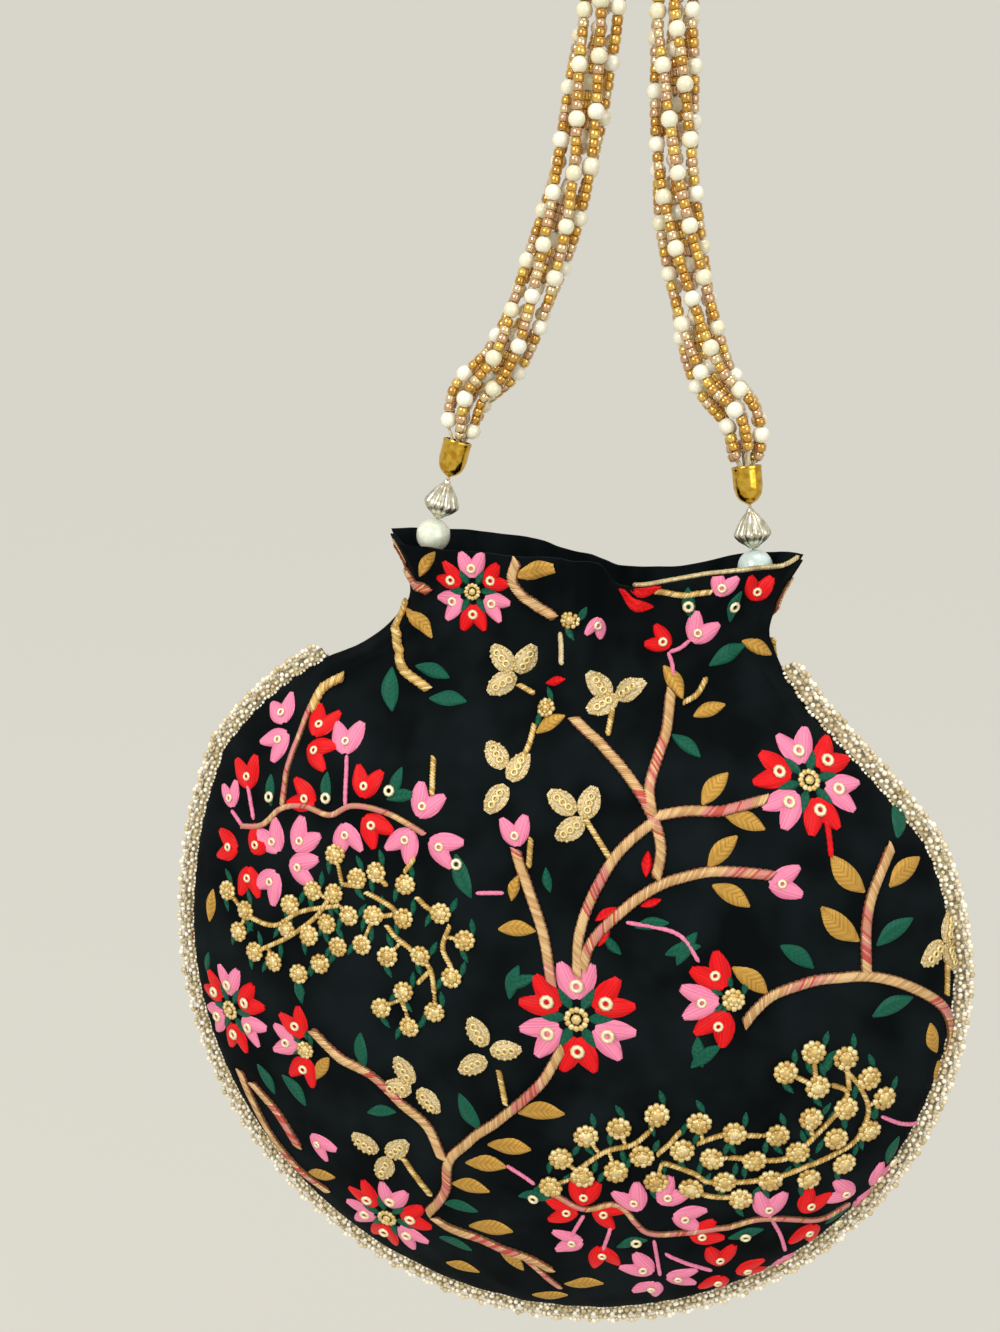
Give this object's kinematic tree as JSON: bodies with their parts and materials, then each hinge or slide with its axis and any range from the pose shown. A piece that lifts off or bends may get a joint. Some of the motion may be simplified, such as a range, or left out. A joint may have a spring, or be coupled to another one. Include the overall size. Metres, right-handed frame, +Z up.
{
  "type": "potli bag",
  "caption": "Round black potli pouch with floral thread embroidery, beaded lace round its seam, a gathered open mouth and a handle of pearl strands.",
  "frame": {"origin": "hang point: the underside of the handle's top bend, in the middle of the bundle", "axes": "+Z up along the hanging bag, the embroidered front faces -Y, +X to the right seen from the front"},
  "size_m": [0.2052, 0.0575, 0.3659],
  "materials": {
    "pearl_beads": "pearl gloss with gold-lined seed beads",
    "gold_caps": "polished gold plate",
    "silver_beads": "ribbed, silver-ivory",
    "glass_bead": "milky gloss",
    "cream_bead": "milky gloss",
    "thread": "twisted cotton thread",
    "velvet": "short black velvet with coloured embroidery",
    "satin": "plain black satin",
    "lace": "beaded lace",
    "zari": "metal-wrapped cord",
    "embroidery": "satin-stitched silk thread"
  },
  "bodies": {
    "handle": {"strand_1": "pearl_beads", "strand_2": "pearl_beads", "strand_3": "pearl_beads", "strand_4": "pearl_beads", "strand_5": "pearl_beads", "strand_6": "pearl_beads", "strand_7": "pearl_beads", "cap_left": "gold_caps", "cap_right": "gold_caps", "upper_thread_left": "thread", "upper_thread_right": "thread"},
    "bag": {"front_panel": "velvet", "back_panel": "velvet", "lining": "satin", "lace_trim": "lace", "rim_cord": "zari", "lower_thread_left": "thread", "lower_thread_right": "thread", "flower_main": "embroidery", "flower_right": "embroidery", "flower_low_left": "embroidery", "flower_left_edge": "embroidery"},
    "ribbed_bead_left_body": {"ribbed_bead_left": "silver_beads"},
    "ribbed_bead_right_body": {"ribbed_bead_right": "silver_beads"},
    "round_bead_left_body": {"round_bead_left": "cream_bead"},
    "round_bead_right_body": {"round_bead_right": "glass_bead"}
  },
  "joints": [
    {"name": "bag_swing", "type": "hinge", "parent": "handle", "child": "bag", "pos_m": [0, 0, -0.13337], "axis": [1, 0, 0], "range_deg": [-70, 70]},
    {"name": "ribbed_bead_left_spin", "type": "hinge", "parent": "bag", "child": "ribbed_bead_left_body", "pos_m": [-0.03808, 0, -0.13982], "axis": [-0.1908, 0, -0.9816], "continuous": true},
    {"name": "round_bead_left_spin", "type": "hinge", "parent": "bag", "child": "round_bead_left_body", "pos_m": [-0.03959, 0, -0.14761], "axis": [-0.1908, 0, -0.9816], "continuous": true},
    {"name": "ribbed_bead_right_spin", "type": "hinge", "parent": "bag", "child": "ribbed_bead_right_body", "pos_m": [0.03808, 0, -0.13982], "axis": [0.1908, 0, -0.9816], "continuous": true},
    {"name": "round_bead_right_spin", "type": "hinge", "parent": "bag", "child": "round_bead_right_body", "pos_m": [0.03959, 0, -0.14761], "axis": [0.1908, 0, -0.9816], "continuous": true}
  ]
}
